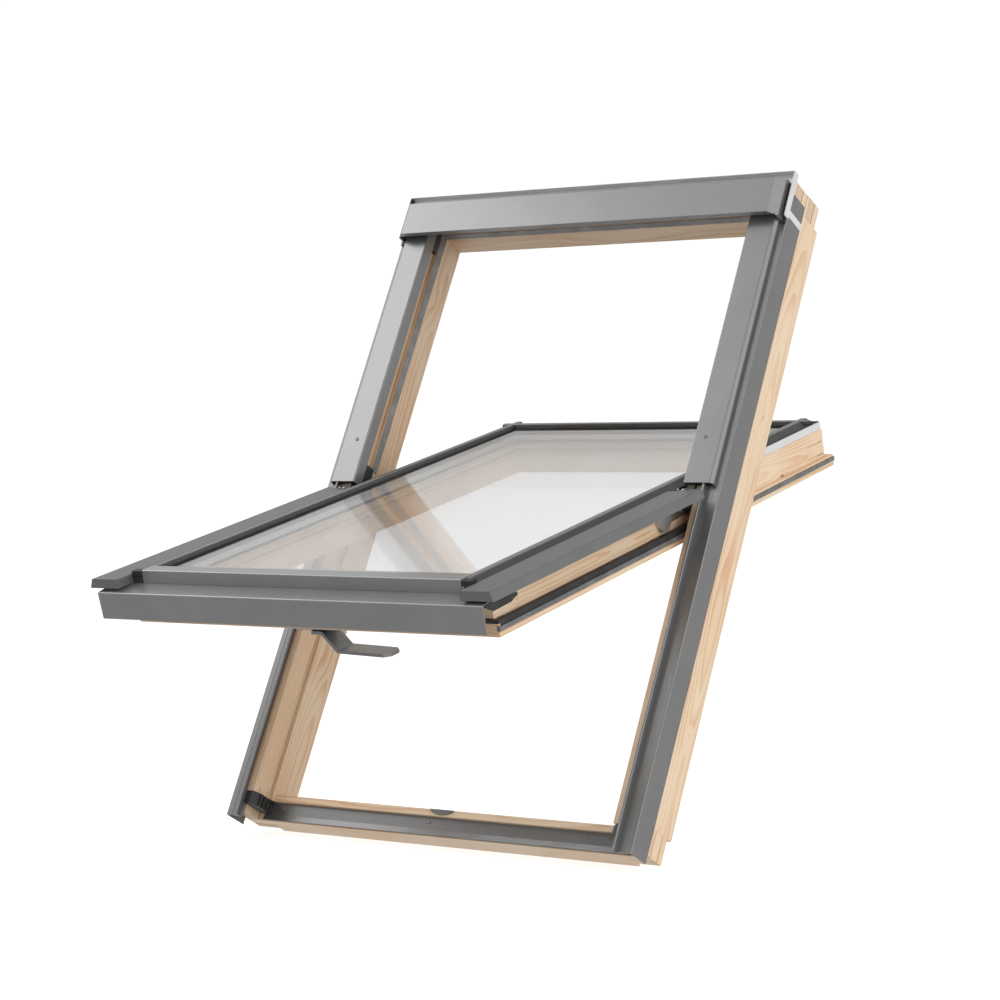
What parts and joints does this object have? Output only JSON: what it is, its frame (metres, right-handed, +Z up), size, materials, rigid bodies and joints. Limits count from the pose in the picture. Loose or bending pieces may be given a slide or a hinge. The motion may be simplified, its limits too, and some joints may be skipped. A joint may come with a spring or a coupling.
{
  "type": "roof window",
  "caption": "Pine centre-pivot roof window with grey metal cladding, at its roof pitch with the double-glazed sash held open.",
  "frame": {"origin": "centre of the outer frame's lower end face, under the bottom rail", "axes": "+X to the right seen from outside, -Y outwards from the building, +Z up; the frame leans back at the roof's pitch of 63 degrees"},
  "size_m": [0.7814, 1.1335, 1.1024],
  "materials": {
    "timber": "clear lacquered pine",
    "grey_sheet": "satin grey coated aluminium sheet",
    "light_trim": "light satin aluminium",
    "black_plastic": "matt black",
    "bright_steel": "zinc plated",
    "gasket": "matt black rubber",
    "grey_seal": "soft grey seal",
    "pane": "clear"
  },
  "bodies": {
    "root": {"frame_bottom_rail": "timber", "frame_top_rail": "timber", "left_frame_jamb": "timber", "right_frame_jamb": "timber", "sash_bottom_rail": "timber", "sash_top_rail": "timber", "left_sash_stile": "timber", "right_sash_stile": "timber", "left_side_cladding": "grey_sheet", "right_side_cladding": "grey_sheet", "left_upper_cover": "grey_sheet", "right_upper_cover": "grey_sheet", "top_casing": "grey_sheet", "sill_cover": "grey_sheet", "left_sash_side_cladding": "grey_sheet", "right_sash_side_cladding": "grey_sheet", "sash_bottom_cladding": "grey_sheet", "step_cover": "grey_sheet", "flashing_strip": "light_trim", "right_casing_end_plate": "light_trim", "side_tab": "light_trim", "upper_trim": "light_trim", "glass_spacer": "light_trim", "left_casing_end_plate": "black_plastic", "casing_end_caps": "black_plastic", "left_corner_block": "black_plastic", "right_corner_block": "black_plastic", "top_corner_clips": "black_plastic", "left_corner_bracket": "black_plastic", "right_corner_bracket": "black_plastic", "left_frame_hinge": "black_plastic", "right_frame_hinge": "black_plastic", "left_sash_hinge": "bright_steel", "right_sash_hinge": "bright_steel", "striker_plate": "bright_steel", "handle_base": "bright_steel", "handle_lever": "bright_steel", "upper_gasket": "gasket", "lip_gasket": "gasket", "glazing_bead": "gasket", "glazing_tape": "gasket", "frame_seal": "grey_seal", "lip_blade": "grey_seal", "outer_pane": "pane", "inner_pane": "pane"}
  },
  "joints": []
}
